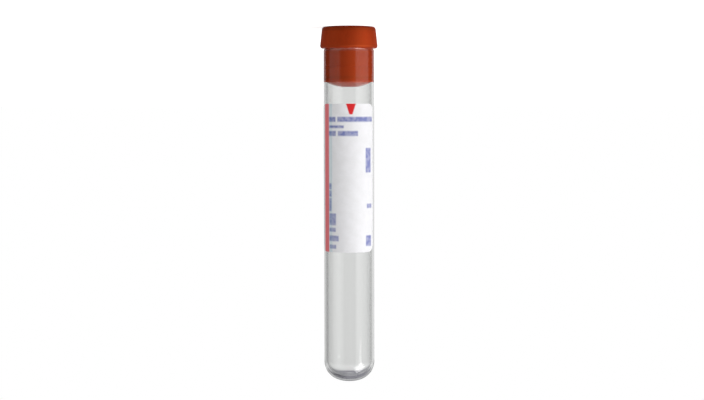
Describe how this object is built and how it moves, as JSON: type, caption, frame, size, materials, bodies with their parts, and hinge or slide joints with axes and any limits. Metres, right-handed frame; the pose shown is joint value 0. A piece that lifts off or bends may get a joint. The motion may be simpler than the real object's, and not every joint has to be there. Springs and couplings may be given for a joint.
{
  "type": "blood collection tube",
  "caption": "Round-ended glass sample tube with a red rubber stopper that pulls off its mouth and a paper label round its front.",
  "frame": {"origin": "centre of the flat top face of the stopper, on which the tube stands", "axes": "+Z along the tube from the stopper to the round closed end; the printed front of the label faces -Y; turning the part half a turn about Y gives its usual pose in a rack, stopper up"},
  "size_m": [0.0176, 0.0176, 0.1098],
  "materials": {
    "stopper_rubber": "satin",
    "tube_glass": "gloss",
    "label_paper": "satin"
  },
  "bodies": {
    "stopper_body": {"stopper": "stopper_rubber"},
    "tube_body": {"tube": "tube_glass", "label": "label_paper"}
  },
  "joints": [
    {"name": "stopper_pull", "type": "slide", "parent": "stopper_body", "child": "tube_body", "axis": [0, 0, 1], "range_m": [0, 0.035]}
  ]
}
